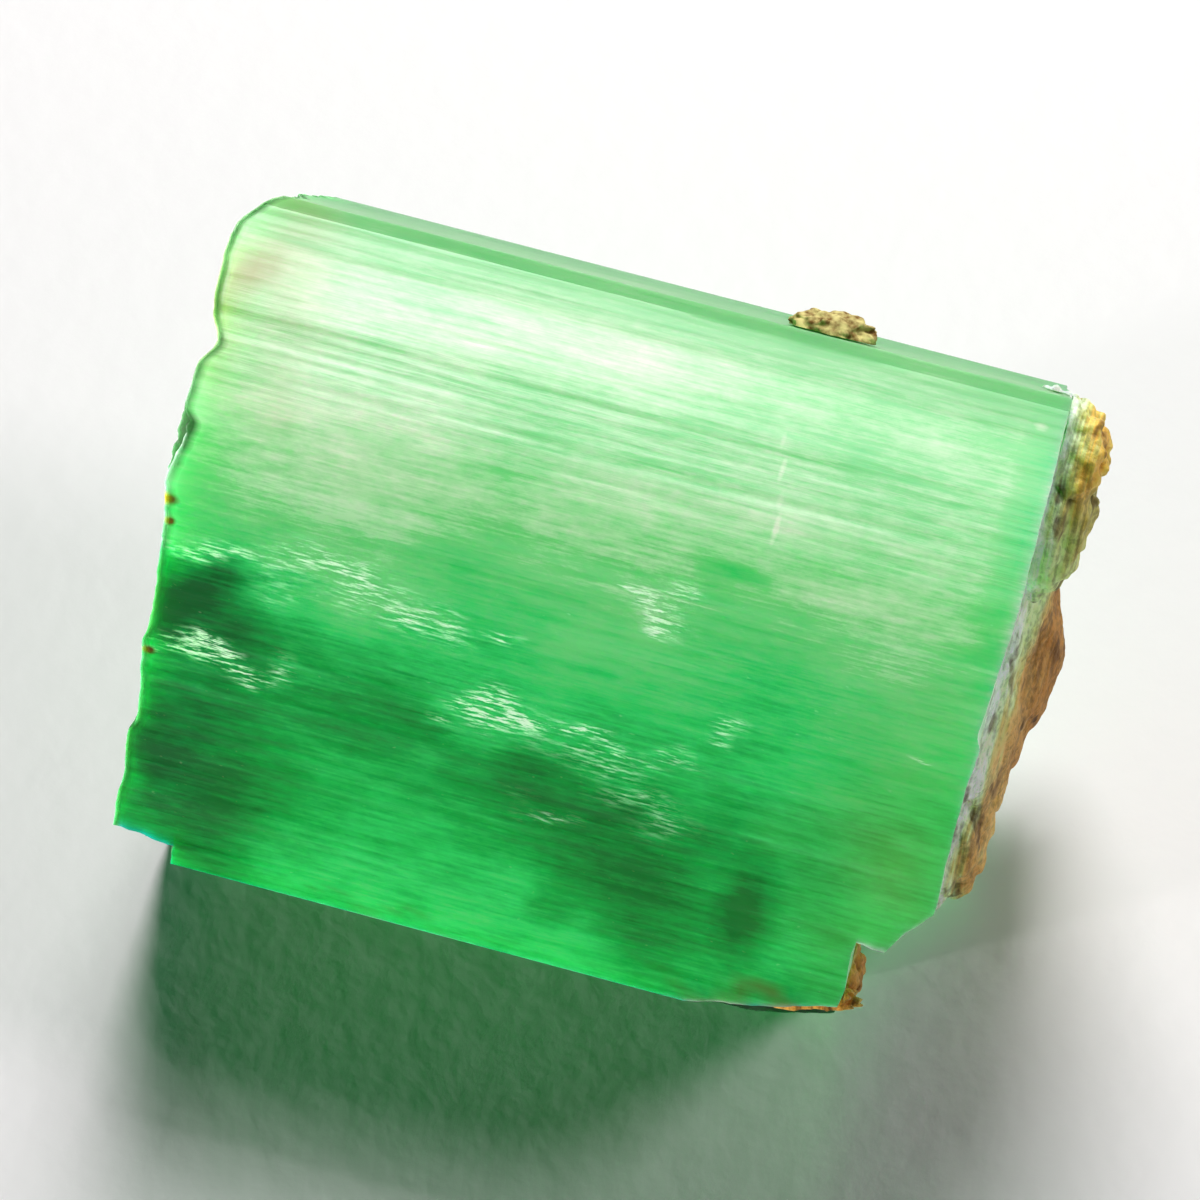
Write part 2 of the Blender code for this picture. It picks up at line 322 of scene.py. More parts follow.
# %% [markdown]
# ## The broken ends
#
# Emerald has no good cleavage. It breaks unevenly, in small shards at slightly different
# heights. So the height of a broken face is a patchwork: each point belongs to the shard whose
# middle is nearest, and the shards are tilted a little and blended where they meet. The far end
# is also worn at its top back corner, hollowed at its top front edge, and set back behind.

# %% Height of a broken face
SHARD_COUNT = 26
SHARD_FIELD_Y, SHARD_FIELD_Z = (-4.4, 4.4), (0.0, 8.6)   # where the middles of the shards lie
SHARD_STEP, SHARD_TILT = 0.09, 0.05           # difference in height between them, and slope
SHARD_BLEND = 0.03                            # over which one goes over to the next
BREAK_GRAIN = ((0.5, 0.022), (0.17, 0.013))   # size and height of the grains of a break
BASE_SLOPE_Y, BASE_SLOPE_Z = -0.045, 0.10
TOP_FRONT_Y = -1.045                          # where the top face meets the front face

# each form of the far end: how far it lies in, and between which Y and Z it fades in or out
WORN_CORNER, WORN_Y, WORN_Z = 0.42, (1.55, 2.3), (6.0, 7.5)
EDGE_HOLLOW, HOLLOW_IN_Y, HOLLOW_OUT_Y, HOLLOW_Z = 0.26, (-1.45, -0.8), (-0.6, 1.6), (5.0, 8.0)
FAR_END_LEAN, LEAN_Y, LEAN_Z = 0.3, (-2.5, 1.0), (5.0, 7.6)


def share(value, low, high):
    """How far the value has come from low to high, held between 0 and 1."""
    return min(1.0, max(0.0, (value - low) / (high - low)))


def shards(rng):
    """Centre, height and tilt of each shard of a broken end."""
    found = []
    for _ in range(SHARD_COUNT):
        centre = Vector((rng.uniform(*SHARD_FIELD_Y), rng.uniform(*SHARD_FIELD_Z)))
        height = rng.uniform(-0.5, 0.5) * SHARD_STEP
        found.append((centre, height, Vector((rng.uniform(-1, 1), rng.uniform(-1, 1))) * SHARD_TILT))
    return found


def shard_height(y, z, pieces):
    """Height of the shard that this point belongs to, blended with its neighbours near a border."""
    here = Vector((y, z))
    nearest = min((piece[0] - here).length for piece in pieces)
    total = weights = 0.0
    for centre, height, tilt in pieces:
        weight = math.exp((nearest - (centre - here).length) / SHARD_BLEND)
        total += weight * (height + tilt.dot(here - centre))
        weights += weight
    return total / weights


def grain(y, z, seed):
    """Fine relief of a broken face."""
    return sum(rise * noise.noise(Vector((y / size, z / size, seed))) for size, rise in BREAK_GRAIN)


def left_end_x(y, z, pieces):
    """Where the far end's broken face lies at this point of the section."""
    corner = share(y, *WORN_Y) * share(z, *WORN_Z)
    hollow = share(y, *HOLLOW_IN_Y) * (1.0 - share(y, *HOLLOW_OUT_Y)) * share(z, *HOLLOW_Z)
    behind = share(y, *LEAN_Y) * (1.0 - share(z, *LEAN_Z))
    worn = WORN_CORNER * corner ** 2 + EDGE_HOLLOW * hollow + FAR_END_LEAN * behind
    return LEFT_END + worn + shard_height(y, z, pieces) + 2.0 * grain(y, z, 4.0)


def right_end_x(y, z, pieces):
    """Where the base lies. It falls back towards the back and the bottom."""
    lean = BASE_SLOPE_Y * (y - TOP_FRONT_Y) - BASE_SLOPE_Z * (HEIGHT - z)
    return RIGHT_END + lean + 0.7 * shard_height(y, z, pieces) + grain(y, z, 9.0)


rng = random.Random(5)
left_pieces, right_pieces = shards(rng), shards(rng)
print("shards on each end:", len(left_pieces), len(right_pieces))

# %% [markdown]
# The prism still runs past both ends. At each end a fine sheet is added, its points are moved
# to the broken face, and it is extruded outwards to a block that is cut away. Moving the
# prism's own end points would be less work, but would drag the growth lines along.

# %% Break both ends
BLOCK_WIDTH, END_CUTS = 9.4, 95
WASTE_LENGTH = 2.0            # how far the block reaches out past the prism's end


def break_end(name, end_x, pieces, outwards):
    """Lay a fine sheet over one end, move it to the broken surface, thicken it and cut it away."""
    bpy.ops.mesh.primitive_grid_add(
        x_subdivisions=END_CUTS, y_subdivisions=END_CUTS, size=BLOCK_WIDTH,
        location=(0, 0, HEIGHT / 2), rotation=(0, math.radians(90), 0))
    sheet = named(name)
    bpy.ops.object.transform_apply(location=True, rotation=True, scale=True)
    set_points(sheet, [(end_x(y, z, pieces), y, z) for _, y, z in points_of(sheet)])
    in_edit_mode(
        sheet, "FACE", everything,
        lambda: bpy.ops.mesh.extrude_region_move(TRANSFORM_OT_translate={"value": (outwards, 0, 0)}),
        lambda: bpy.ops.mesh.select_all(action="SELECT"),
        lambda: bpy.ops.mesh.normals_make_consistent(inside=False),
    )
    boolean(crystal, sheet, "DIFFERENCE")


break_end("far_end_waste", left_end_x, left_pieces, -WASTE_LENGTH)
break_end("base_end_waste", right_end_x, right_pieces, WASTE_LENGTH)
print("crystal with its ends broken:", len(crystal.data.polygons), "faces")

# %% [markdown]
# The lower corners were knocked off at both ends, where the crystal left its rock. Each missing
# piece is a block with a bumpy surface, turned to the slope of the break and cut away. The faces
# that the cuts leave are marked as broken, because a break has no growth lines.

# %% Break off the corners
CHIPS = {                     # middle, size, turn in degrees, seed of the bumps
    "left_low_chip": ((-4.95, -4.1, 2.35), (1.75, 2.3, 2.55), (0, 6, 8), 3),
    "base_low_chip": ((5.1, -2.4, 1.75), (2.6, 5.6, 5.35), (2, 6, 3), 9),
    "base_corner_chip": ((5.1, -3.34, 4.52), (1.0, 1.8, 1.7), (0, 30, -18), 17),
    "front_edge_chip": ((3.6, -4.23, 2.94), (3.1, 1.2, 1.4), (-30, -13, 6), 21),
    "lower_front_chip": ((4.06, -3.34, 1.49), (3.4, 1.2, 4.6), (30, 0, 18), 25),
}
CHIP_CUTS = 36
CHIP_BUMPS = ((0.45, 0.05), (0.13, 0.02))     # size and height of the bumps on a chip
BREAK_DEPTH = 0.11            # a face that lies deeper in the prism than this is a break

for name, (centre, size, turn_deg, seed) in CHIPS.items():
    bpy.ops.mesh.primitive_cube_add(size=1)
    chip = named(name)
    in_edit_mode(chip, "VERT", everything, lambda: bpy.ops.mesh.subdivide(number_cuts=CHIP_CUTS))
    turn = Euler([math.radians(angle) for angle in turn_deg]).to_matrix().to_4x4()
    chip.data.transform(Matrix.Translation(centre) @ turn @ Matrix.Diagonal((*size, 1)))
    offset = Vector((seed, 0, 0))
    moved = []
    for vert in chip.data.vertices:
        bumps = sum(rise * noise.noise(vert.co / step + offset) for step, rise in CHIP_BUMPS)
        moved.append(vert.co + vert.normal * bumps)
    set_points(chip, moved)
    boolean(crystal, chip, "DIFFERENCE")
print("crystal with its corners off:", len(crystal.data.polygons), "faces")


def broken_share(obj):
    """For each polygon, 1 where the surface is a break and 0 where it is a grown prism face."""
    shares = []
    for polygon in obj.data.polygons:
        middle = Vector((polygon.center.y, polygon.center.z))
        depth = min((middle - corner).dot(inward) for corner, _, inward, _ in faces)
        shares.append(1.0 if depth > BREAK_DEPTH or abs(polygon.normal.x) > 0.5 else 0.0)
    return shares


broken = crystal.data.attributes.new("broken", "FLOAT", "FACE")
shares = broken_share(crystal)
broken.data.foreach_set("value", shares)
print("polygons on breaks:", round(sum(shares)), "of", len(shares))

# %% [markdown]
# ## The rock on the base
#
# The prism grew out of a brown mica schist, and some of it is still stuck to the base: a crust
# in thin layers with an ochre knob at its top, a thin skin along the chipped lower edge, and a
# crumb on the back. Displacing a plane would leave such a crust without sides, so each is a
# few lumps: balls drawn out to ellipsoids, with ridges and grains from noise, joined, and cut
# to the crystal's surface by a copy of the crystal that is a hair larger.

# %% Lumps of rock
GROWN_SCALE = 1.007           # the copy that cuts the rock is this much larger than the crystal,
HEART = Vector((-0.5, 0.8, 6.0))   # scaled about this point
RUGGEDNESS = 0.22             # how far the large ridges stand out, as a share of the radius
LAYER_SPACING, LAYER_LENGTH, LAYER_HEIGHT = 0.13, 1.4, 0.035
GRAIN_SIZE, GRAIN_HEIGHT = 0.12, 0.04


def rock_lump(name, centre, radii, turn_deg, seed, fineness):
    """A ball drawn out to an ellipsoid, with ridges, layers and grains."""
    bpy.ops.mesh.primitive_ico_sphere_add(subdivisions=fineness, radius=1)
    lump = named(name)
    turn = Euler([math.radians(angle) for angle in turn_deg]).to_matrix().to_4x4()
    place = Matrix.Translation(centre) @ turn @ Matrix.Diagonal((*radii, 1))
    offset = Vector((seed * 5.7, seed * 2.3, seed))
    moved = []
    for vert in lump.data.vertices:
        ball = vert.co.normalized()
        ridges = noise.noise(ball * 1.9 + offset) + 0.5 * noise.noise(ball * 4.3 - offset)
        where = place @ (ball * (1.0 + RUGGEDNESS * ridges))
        cell = Vector((where.x / LAYER_SPACING, where.y / LAYER_LENGTH, where.z / LAYER_LENGTH))
        relief = LAYER_HEIGHT * noise.noise(cell) + GRAIN_HEIGHT * noise.noise(where / GRAIN_SIZE)
        moved.append(where + (where - Vector(centre)).normalized() * relief)
    set_points(lump, moved)
    return lump


def keep_largest(obj, name):
    """Delete the crumbs that a cut left beside the piece, and name the piece."""
    select_only(obj)
    bpy.ops.mesh.separate(type="LOOSE")
    pieces = sorted(bpy.context.selected_objects, key=lambda piece: len(piece.data.vertices))
    for crumb in pieces[:-1]:
        bpy.data.objects.remove(crumb, do_unlink=True)
    pieces[-1].name = name
    return pieces[-1]


def crust(name, lumps):
    """Join the lumps, and cut away what lies inside the crystal."""
    piece, *others = [rock_lump(f"{name}_{number}", *lump) for number, lump in enumerate(lumps)]
    for other in others:
        boolean(piece, other, "UNION")
    select_only(crystal)
    bpy.ops.object.duplicate()
    waste = bpy.context.active_object
    grown = Matrix.Translation(HEART) @ Matrix.Scale(GROWN_SCALE, 4) @ Matrix.Translation(-HEART)
    waste.data.transform(grown)
    boolean(piece, waste, "DIFFERENCE")
    return keep_largest(piece, name)


# each lump: middle, radii, turn in degrees, seed of its noise, fineness of its ball
base_crust = crust("schist_crust", (
    ((4.45, 1.1, 4.2), (0.72, 2.2, 3.0), (-12, -5.7, -3.7), 2, 7),
    ((4.78, 1.75, 6.4), (0.75, 1.0, 1.2), (0, 0, 0), 5, 6),
    ((4.85, 2.15, 7.2), (0.7, 0.65, 0.75), (20, 0, 0), 6, 6),
    ((4.3, -0.6, 2.7), (0.72, 1.1, 1.5), (15, -4, 0), 8, 6),
))
edge_crust = crust("schist_skin", (
    ((3.82, -3.0, 2.9), (0.3, 0.48, 1.05), (30, 6, 0), 12, 6),
    ((3.25, -3.6, 3.32), (1.0, 0.2, 0.22), (-30, -9, 4), 14, 6),
))
crumb = crust("limonite_crumb", (
    ((2.1, 2.55, 7.86), (0.52, 0.3, 0.24), (-60, 0, 3), 4, 6),
))
print("faces of the rock:", [len(piece.data.polygons) for piece in (base_crust, edge_crust, crumb)])

# %% [markdown]
# The pieces are finished, so they are brought to their real size, and shifted to where the plain
# solids are.

# %% Bring all to real size
to_real_size(crystal, 24)
for piece in (base_crust, edge_crust, crumb):
    to_real_size(piece, 60)

# %% [markdown]
# ## The paper
#
# The crystal lies on a sheet of plain white paper. Seen this near, the paper is not smooth: its
# fibres make soft hills half a millimetre apart. A plane with a little bump is enough,
# because only its shading shows. It lies a hair under the crystal, as the tips of the fibres
# carry it.

# %% Floor
PAPER_GAP = 0.02 * MM
PAPER_SIDE = 600 * MM
bpy.ops.mesh.primitive_plane_add(size=PAPER_SIDE, location=(0, 0, -PAPER_GAP))
floor = named("paper")
bpy.ops.object.transform_apply(location=True, rotation=True, scale=True)
print("paper:", round(PAPER_SIDE / MM), "mm square, and", round(PAPER_GAP / MM, 2), "mm lower")

# %% [markdown]
# ## Finishes
#
# Every finish is made of nodes that read the place on the piece in millimetres, so the size of a
# pattern is a real size. Painting a picture over each piece would be another way, but nodes
# cover every side of it, and one change of a number changes them all. Three helpers keep the
# code short: one adds a node with its settings and links, one starts a material, and one hands it
# to the pieces. Colours are written as a screen shows them and turned into linear light.

# %% Helpers for materials


def linear(hex_colour):
    """An sRGB colour such as 3fa060 as linear red, green, blue and alpha."""
    parts = [int(hex_colour[i:i + 2], 16) / 255 for i in (0, 2, 4)]
    return (*[p / 12.92 if p <= 0.04045 else ((p + 0.055) / 1.055) ** 2.4 for p in parts], 1.0)


def add(tree, kind, inputs=None, stops=(), **settings):
    """Add a node with its settings, link or set its inputs, and fill its colour stops.

    The first two stops are the ramp's own, at its ends, and the others are added between them.
    """
    made = tree.nodes.new("ShaderNode" + kind)
    for name, value in settings.items():
        setattr(made, name, value)
    for name, value in (inputs or {}).items():
        if isinstance(value, bpy.types.Node):
            value = value.outputs[0]
        if isinstance(value, bpy.types.NodeSocket):
            tree.links.new(value, made.inputs[name])
        else:
            made.inputs[name].default_value = value
    for number, (position, colour) in enumerate(stops):
        elements = made.color_ramp.elements
        stop = elements[number] if number < 2 else elements.new(position)
        stop.position, stop.color = position, linear(colour)
    return made


def new_material(name):
    """An empty material, its nodes, and a place on the piece in millimetres."""
    material = bpy.data.materials.new(name)
    material.use_nodes = True
    tree = material.node_tree
    tree.nodes.clear()
    metres = add(tree, "TexCoord").outputs["Object"]
    place = add(tree, "Mapping", {"Vector": metres, "Scale": (1 / MM, 1 / MM, 1 / MM)})
    return material, tree, place


def finish(material, tree, surface, *pieces, volume=None):
    """Link the material's surface, and give the pieces this material alone."""
    output = add(tree, "OutputMaterial", {"Surface": surface})
    if volume:
        tree.links.new(volume.outputs[0], output.inputs["Volume"])
    for piece in pieces:
        piece.data.materials.clear()
        piece.data.materials.append(material)
    print(material.name, "on", [piece.name for piece in pieces], "with", len(tree.nodes), "nodes")


# %% [markdown]
# Uncoated writing paper is nearly pure white, and has no gloss, as light sinks a little into its
# fibres. So it gets a white just under the brightest, a rough surface with weak reflections, and
# a low bump with hills half a millimetre apart.

# %% Paper
material, tree, place = new_material("uncoated_white_paper")
fibres = add(tree, "TexNoise", {"Vector": place, "Scale": 2.2, "Detail": 5.0})
bump = add(tree, "Bump", {"Height": fibres, "Strength": 0.15, "Distance": 0.05 * MM})
surface = add(tree, "BsdfPrincipled", {
    "Base Color": linear("efeded"), "Roughness": 0.9, "Specular IOR Level": 0.2, "Normal": bump})
finish(material, tree, surface, floor)

# %% [markdown]
# ## The emerald
#
# Emerald is beryl with a little chromium in it. This crystal is clear only in part: tiny
# inclusions scatter the light inside, most of all near the top face, so it is milky and pale
# there, and a clear deep green lower down. Fractures and needles lie in veils under the front
# face, and iron has stained the far end and a seam along the lower edge.
#
# Where these lie is kept on the mesh, as values on its points, so that they stay in place however
# the material is changed. Painting them by hand would do as well. Here each value is a sum of
# soft spots, which are given by their place along the prism and their distance down the front
# face, or by x and y on the top face. A strength below zero makes the crystal deeper green.

# %% Where the crystal is pale, deep, veiled and stained
# each spot: x, distance down the front face (or y on the top), half length, half width, strength
PALE = (
    (-3.2, 0.9, 2.2, 1.0, 0.1), (-2.9, 1.7, 1.4, 0.7, 0.2), (-0.8, 2.6, 1.6, 0.6, 0.12),
    (0.5, 0.9, 0.9, 0.4, 0.08), (3.3, 0.6, 1.7, 1.3, 0.08), (0.4, 3.1, 1.3, 0.7, 0.06),
    (2.6, 3.2, 1.9, 1.6, 0.06), (-0.15, 1.6, 0.6, 0.8, 0.1), (3.6, 3.4, 1.4, 2.4, 0.1),
    (-0.8, 4.9, 1.6, 0.8, 0.1), (-1.2, 5.6, 2.8, 0.7, 0.2),
)
DEEP = (
    (-4.3, 2.2, 1.5, 0.9, -0.4), (-4.3, 4.6, 1.9, 2.2, -0.24), (-2.5, 3.1, 1.3, 0.8, -0.25),
    (-0.4, 3.8, 1.2, 0.9, -0.16), (0.9, 4.4, 2.0, 1.3, -0.22), (1.9, 1.6, 1.4, 0.9, -0.1),
    (-1.4, 1.2, 0.9, 1.2, -0.1), (-4.8, 2.3, 0.9, 0.8, -0.35),
)
DARK_BAR = (
    (2.4, 4.55, 0.42, 1.05, -0.42),
)
TOP_BANDS = (
    (-1.6, 1.15, 4.6, 0.9, 0.2), (-3.6, -0.5, 2.6, 1.4, 0.2), (0.6, -0.7, 3.2, 0.9, 0.1),
    (-4.4, 1.57, 0.7, 0.1, -0.35), (-2.4, 1.15, 1.0, 0.08, -0.2), (0.6, 2.1, 7.5, 0.7, -0.15),
    (1.6, -1.0, 0.6, 0.12, -0.3), (4.6, 0.6, 0.3, 2.6, -0.3),
)
VEILS = (
    (-4.5, 1.5, 0.75, 0.2, 2.4), (-4.25, 2.95, 0.95, 0.13, 2.6), (-4.3, 3.1, 0.8, 0.1, 2.4),
    (-2.9, 1.5, 1.3, 0.5, 1.6), (-2.0, 1.95, 0.7, 0.35, 1.8), (-0.8, 2.65, 0.75, 0.25, 3.0),
    (0.2, 2.72, 0.8, 0.1, 2.4), (0.75, 0.75, 0.65, 0.2, 3.0), (0.3, 2.95, 1.3, 0.35, 0.9),
    (0.95, 3.5, 0.7, 0.25, 0.9), (-0.9, 1.68, 0.3, 0.1, 2.0), (-1.5, 3.08, 0.3, 0.1, 2.0),
    (0.0, 3.84, 0.3, 0.1, 1.6), (1.3, 2.8, 0.5, 0.2, 1.2), (4.02, 1.94, 0.3, 0.1, 2.0),
    (1.74, 2.2, 0.3, 0.08, 2.0),
)
RUSTY = ((2.9, 5.85, 1.5, 0.22, 0.9), (-1.6, 5.95, 1.5, 0.08, 0.3))
TINTED = ((4.1, 3.5, 1.7, 2.8, 0.35),)
TINTED_ON_TOP = ((-5.0, 0.6, 0.6, 1.1, 0.7), (-4.6, 1.0, 1.4, 1.9, 0.5))
on_the_front = PALE + DEEP + DARK_BAR + VEILS + RUSTY + TINTED
print(len(on_the_front), "spots on the front,", len(TOP_BANDS + TINTED_ON_TOP), "on the top")

# %% [markdown]
# A soft spot is an ellipsoid that fades from its middle to nothing. Its distance to each point
# is measured after a slow noise has moved the points, which makes the edges of the spots
# ragged, as those of clouds in a crystal are. How far each point lies from the broken far end is
# kept too, because the thin edge there needs a darker colour.

# %% Keep the spots on the points
RAGGEDNESS, RAG_SIZE = 0.5, 0.7   # how far the noise moves a point, and over what distance
SPOT_DEPTH = 1.5                  # half depth of a spot, into the face

points = points_of(crystal) / MM
seeds = [Vector((seed, 0, 0)) for seed in (3, 17, 31)]
rags = [[noise.noise(Vector(point) / RAG_SIZE + seed) for seed in seeds] for point in points]
ragged = points + RAGGEDNESS * np.array(rags)
DOWN_THE_FRONT = np.array((0, -0.5, -math.sqrt(0.75)))
OUT_OF_THE_FRONT = np.array((0, -math.sqrt(0.75), 0.5))
TOP_FRONT_EDGE = np.array((0, TOP_FRONT_Y, HEIGHT))


def soft_spots(name, places, on_top=False, where=ragged):
    """Add soft spots to a value that is kept on the crystal's points."""
    attributes = crystal.data.attributes
    attribute = attributes.get(name) or attributes.new(name, "FLOAT", "POINT")
    total = np.zeros(len(points))
    attribute.data.foreach_get("value", total)
    for x, across, length, width, strength in places:
        if on_top:
            offset = where - np.array((x, across, HEIGHT))
            sideways, outwards = offset[:, 1], offset[:, 2]
        else:
            offset = where - np.array((x, 0, 0)) - TOP_FRONT_EDGE - across * DOWN_THE_FRONT
            sideways, outwards = offset @ DOWN_THE_FRONT, offset @ OUT_OF_THE_FRONT
        scaled = np.stack((offset[:, 0] / length, sideways / width, outwards / SPOT_DEPTH))
        total += strength * np.maximum(0.0, 1.0 - np.linalg.norm(scaled, axis=0))
    attribute.data.foreach_set("value", total)
    print(name, "from", total.min().round(2), "to", total.max().round(2))


soft_spots("paleness", PALE + DEEP)
soft_spots("paleness", DARK_BAR, where=points)
soft_spots("paleness", TOP_BANDS, on_top=True, where=points)
soft_spots("veiled", VEILS)
soft_spots("rusty", RUSTY)
soft_spots("tinted", TINTED)
soft_spots("tinted", TINTED_ON_TOP, on_top=True)

far_end = crystal.data.attributes.new("from_far_end", "FLOAT", "POINT")
distances = [x + AXIS_SHIFT - left_end_x(y, z, left_pieces) for x, y, z in points]
far_end.data.foreach_set("value", distances)
print("distance to the far end: up to", round(max(distances), 2), "mm")

# %% [markdown]
# Growth lines, broad bands and a fine mottle run along the crystal. Each is noise in cells that
# are long along the prism and narrow across it, because the crystal grew that way. Clouds as
# wide as they are long lie over them. The sizes of the cells are real ones, in millimetres:
# the growth lines are about 0.05 mm apart.

# %% Patterns in the emerald


def cells(length, width):
    """The scale for noise whose cells are this long in x and this wide in y and z."""
    return 1 / length, 1 / width, 1 / width


material, tree, place = new_material("emerald_milky_above_clear_below")
line_cells = add(tree, "Mapping", {"Vector": place, "Scale": cells(0.9, 0.045)})
striations = add(tree, "TexNoise", {
    "Vector": line_cells, "Scale": 1.0, "Detail": 4.0, "Roughness": 0.6})
band_cells = add(tree, "Mapping", {"Vector": place, "Scale": cells(2.6, 0.5)})
bands = add(tree, "TexNoise", {"Vector": band_cells, "Scale": 1.0, "Detail": 3.0})
mottle_cells = add(tree, "Mapping", {"Vector": place, "Scale": cells(0.3, 0.12)})
mottle = add(tree, "TexNoise", {
    "Vector": mottle_cells, "Scale": 1.0, "Detail": 4.0, "Roughness": 0.7})
cloud_cells = add(tree, "Mapping", {"Vector": place, "Scale": cells(1.5, 2.2)})
clouds = add(tree, "TexNoise", {"Vector": cloud_cells, "Scale": 1.0, "Detail": 2.0})
print("patterns in the emerald:", len(tree.nodes), "nodes")

# %% [markdown]
# How milky the crystal is at each place is one value, from 0 for clear and deep green to 1 for
# white. It grows with height, and the soft spots that are kept on the mesh are added to it. Then
# the patterns swing it up and down. On the front face it is held under a limit, so that the
# green stays fresh there. A healed crack and two specks on the top face are smaller than the
# distance between the mesh's points, so they are small round spots in the material itself.

# %% Milkiness
CRACK_AND_SPECKS = (
    (1.68, 0.62, 8.5, 0.05, 0.2, 0.3), (1.77, 0.27, 8.5, 0.05, 0.24, 0.35),
    (1.85, -0.1, 8.5, 0.06, 0.18, 0.25), (1.9, -0.45, 8.5, 0.05, 0.24, 0.3),
    (4.44, 1.68, 8.5, 0.12, 0.09, 0.5), (3.92, 0.8, 8.5, 0.1, 0.07, 0.45),
)


def spots(tree, place, places):
    """Add up small round spots: x, y, z, radius along the prism, across it, strength."""
    total = 0.0
    for x, y, z, length, width, strength in places:
        local = add(tree, "Mapping", {
            "Vector": place, "Location": (x, y, z), "Scale": (length, width, width),
        }, vector_type="TEXTURE")
        spot = add(tree, "TexGradient", {"Vector": local}, gradient_type="SPHERICAL")
        total = add(tree, "Math", {0: spot, 1: strength, 2: total}, operation="MULTIPLY_ADD")
    return total


def kept(tree, name):
    """A value that is kept on the mesh."""
    return add(tree, "Attribute", attribute_name=name).outputs["Fac"]


along, backward, height = add(tree, "SeparateXYZ", {"Vector": place}).outputs
milk = add(tree, "MapRange", {
    "Value": height, "From Min": 5.2, "From Max": 8.4, "To Min": 0.36, "To Max": 0.74,
}, interpolation_type="SMOOTHSTEP")
over_edge = add(tree, "MapRange", {
    "Value": backward, "From Min": -0.95, "From Max": -1.4, "To Max": -0.1})
for part in (over_edge, kept(tree, "paleness")):
    milk = add(tree, "Math", {0: milk, 1: part}, operation="ADD")
for pattern, amount in ((striations, 0.4), (bands, 0.3), (clouds, 0.35), (mottle, 0.35)):
    swing = add(tree, "Math", {
        0: pattern, 1: amount, 2: -0.5 * amount}, operation="MULTIPLY_ADD")
    milk = add(tree, "Math", {0: milk, 1: swing}, operation="ADD")
most = add(tree, "MapRange", {
    "Value": backward, "From Min": -1.1, "From Max": -1.7, "To Min": 1.0, "To Max": 0.62})
milk = add(tree, "Math", {0: milk, 1: most}, operation="MINIMUM")
specks = spots(tree, place, CRACK_AND_SPECKS)
milk = add(tree, "Math", {0: milk, 1: specks}, operation="ADD", use_clamp=True)
print("with the milkiness:", len(tree.nodes), "nodes")

# %% [markdown]
# A veil is a healed fracture full of tiny needles, which shine white where the light from
# behind meets them. The value on the mesh says where a veil is, and a fine noise, stretched
# along the prism, breaks it up into needles. Very sparse specks of the same white lie everywhere.

# %% Veils and specks
needle_cells = add(tree, "Mapping", {"Vector": place, "Scale": cells(0.28, 0.04)})
needles = add(tree, "TexNoise", {
    "Vector": needle_cells, "Scale": 1.0, "Detail": 4.0, "Roughness": 0.65})
needles = add(tree, "MapRange", {"Value": needles, "From Min": 0.48, "From Max": 0.68})
veil = add(tree, "Math", {
    0: kept(tree, "veiled"), 1: needles}, operation="MULTIPLY", use_clamp=True)
speck_cells = add(tree, "Mapping", {"Vector": place, "Scale": cells(0.11, 0.05)})
specks = add(tree, "TexNoise", {"Vector": speck_cells, "Scale": 1.0, "Detail": 1.0})
specks = add(tree, "MapRange", {
    "Value": specks, "From Min": 0.75, "From Max": 0.86, "To Max": 0.3})
veil = add(tree, "Math", {0: veil, 1: specks}, operation="ADD", use_clamp=True)
print("with the veils:", len(tree.nodes), "nodes")

# %% [markdown]
# The milkiness picks the colour, from deep to pale green. Other tints are then laid over it, one
# after the other: the veils, the shaded face at the back, the olive stain at both ends, the dark
# rim of the far end, the bleached break of the base, the rusty seam along the lower edge and
# three spots of iron. The lower front face looks down at its own shadow, so it is darkest.

# %% Colour of the emerald
STAINS = (
    (-5.0, -1.55, 7.6, 0.14, 0.1, 1.6), (-4.95, -1.7, 7.35, 0.08, 0.08, 1.6),
    (-4.98, -2.6, 5.77, 0.1, 0.07, 1.6),
)

colour = add(tree, "ValToRGB", {"Fac": milk}, stops=(
    (0.0, "007a36"), (1.0, "dcecd0"), (0.22, "06b458"), (0.42, "38d878"), (0.68, "82d88c")))
# Painted shade: the back of the top face and the narrow face behind it turn a duller, darker green.
painted_back_shade = add(tree, "MapRange", {
    "Value": backward, "From Min": 1.3, "From Max": 2.2, "To Max": 0.75})
rim = add(tree, "MapRange", {
    "Value": kept(tree, "from_far_end"), "From Min": 0.14, "From Max": 0.04, "To Max": 0.9})
base_end = add(tree, "MapRange", {
    "Value": along, "From Min": 3.0, "From Max": 4.0, "To Max": 0.75})
base_end = add(tree, "Math", {0: base_end, 1: kept(tree, "broken")}, operation="MULTIPLY")
facing = add(tree, "SeparateXYZ", {"Vector": add(tree, "NewGeometry").outputs["Normal"]})
front = add(tree, "MapRange", {
    "Value": facing.outputs["Y"], "From Min": -0.3, "From Max": -0.6})
# Painted shade: the low front face, which faces down and to the front, is tinted nearly black-green
# because it looks down at its own shadow.
low = add(tree, "MapRange", {
    "Value": height, "From Min": 3.05, "From Max": 3.28, "To Min": 1.0, "To Max": 0.0})
near = add(tree, "MapRange", {"Value": backward, "From Min": -1.6, "From Max": -2.4})
under = add(tree, "Math", {0: low, 1: near}, operation="MULTIPLY")
under = add(tree, "Math", {0: under, 1: front}, operation="MULTIPLY")
for amount, tint in (
        (veil, "d6f6d4"), (painted_back_shade, "76a874"), (kept(tree, "tinted"), "9a9448"),
        (rim, "1e3c1c"), (base_end, "e2f2de"), (kept(tree, "rusty"), "62702c"),
        (spots(tree, place, STAINS), "5a3408"), (under, "022a12")):
    colour = add(tree, "MixRGB", {"Fac": amount, "Color1": colour, "Color2": linear(tint)})
print("with the colour:", len(tree.nodes), "nodes")

